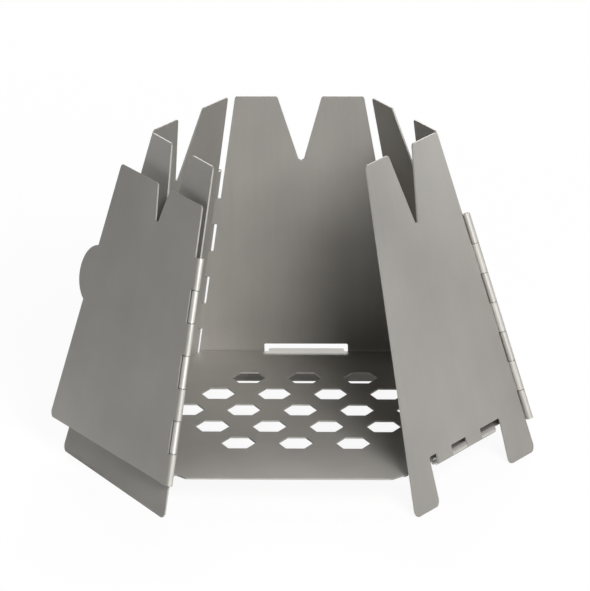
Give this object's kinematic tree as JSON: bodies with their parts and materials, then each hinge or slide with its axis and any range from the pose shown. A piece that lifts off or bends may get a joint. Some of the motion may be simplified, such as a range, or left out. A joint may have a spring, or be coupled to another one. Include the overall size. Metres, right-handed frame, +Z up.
{
  "type": "folding wood stove",
  "caption": "Folding camp stove: hinged sheet-steel walls with notched tops in a tapered ring round a hinged, perforated base plate, with an opened front door.",
  "frame": {"origin": "middle of the stove's footprint, with the opened door, on the ground", "axes": "+Z up, +Y from the open front towards the back wall, +X to the right seen from the front"},
  "size_m": [0.1476, 0.1262, 0.1016],
  "materials": {
    "wall_steel": "satin",
    "base_steel": "satin",
    "pin_steel": "bright drawn wire"
  },
  "bodies": {
    "back": {"back_wall": "wall_steel", "back_left_pin": "pin_steel", "back_right_pin": "pin_steel"},
    "rear_left": {"rear_left_wall": "wall_steel", "left_pin": "pin_steel"},
    "front_left": {"front_left_wall": "wall_steel"},
    "door": {"door": "wall_steel", "door_pin": "pin_steel"},
    "rear_right": {"rear_right_wall": "wall_steel", "right_pin": "pin_steel"},
    "front_right": {"front_right_wall": "wall_steel"},
    "base": {"base_plate": "base_steel", "base_pin": "pin_steel"}
  },
  "joints": [
    {"name": "back_left_hinge", "type": "hinge", "parent": "back", "child": "rear_left", "pos_m": [-0.03543, 0.0636, 0.00027], "axis": [0.1404, -0.2432, 0.9597], "range_deg": [-228, 0]},
    {"name": "left_hinge", "type": "hinge", "parent": "rear_left", "child": "front_left", "pos_m": [-0.07054, -0.00045, -0.00027], "axis": [0.2809, 0, 0.9597], "range_deg": [0, 117]},
    {"name": "door_hinge", "type": "hinge", "parent": "front_left", "child": "door", "pos_m": [-0.03543, -0.0645, 0.00027], "axis": [0.1404, 0.2432, 0.9597], "range_deg": [-3, 234]},
    {"name": "back_right_hinge", "type": "hinge", "parent": "back", "child": "rear_right", "pos_m": [0.0376, 0.06198, -0.00027], "axis": [-0.1404, -0.2432, 0.9597], "range_deg": [0, 120]},
    {"name": "right_hinge", "type": "hinge", "parent": "rear_right", "child": "front_right", "pos_m": [0.07551, -0.00045, 0.00027], "axis": [-0.2809, 0, 0.9597], "range_deg": [0, 200]},
    {"name": "base_hinge", "type": "hinge", "parent": "front_right", "child": "base", "pos_m": [0.05297, -0.03014, 0.0118], "axis": [0.5, 0.866, 0], "range_deg": [0, 74]}
  ],
  "couplings": [
    {"joint": "left_hinge", "follows": "back_left_hinge", "ratio": -0.513},
    {"joint": "right_hinge", "follows": "back_left_hinge", "ratio": -0.877},
    {"joint": "base_hinge", "follows": "back_left_hinge", "ratio": -0.3245}
  ]
}
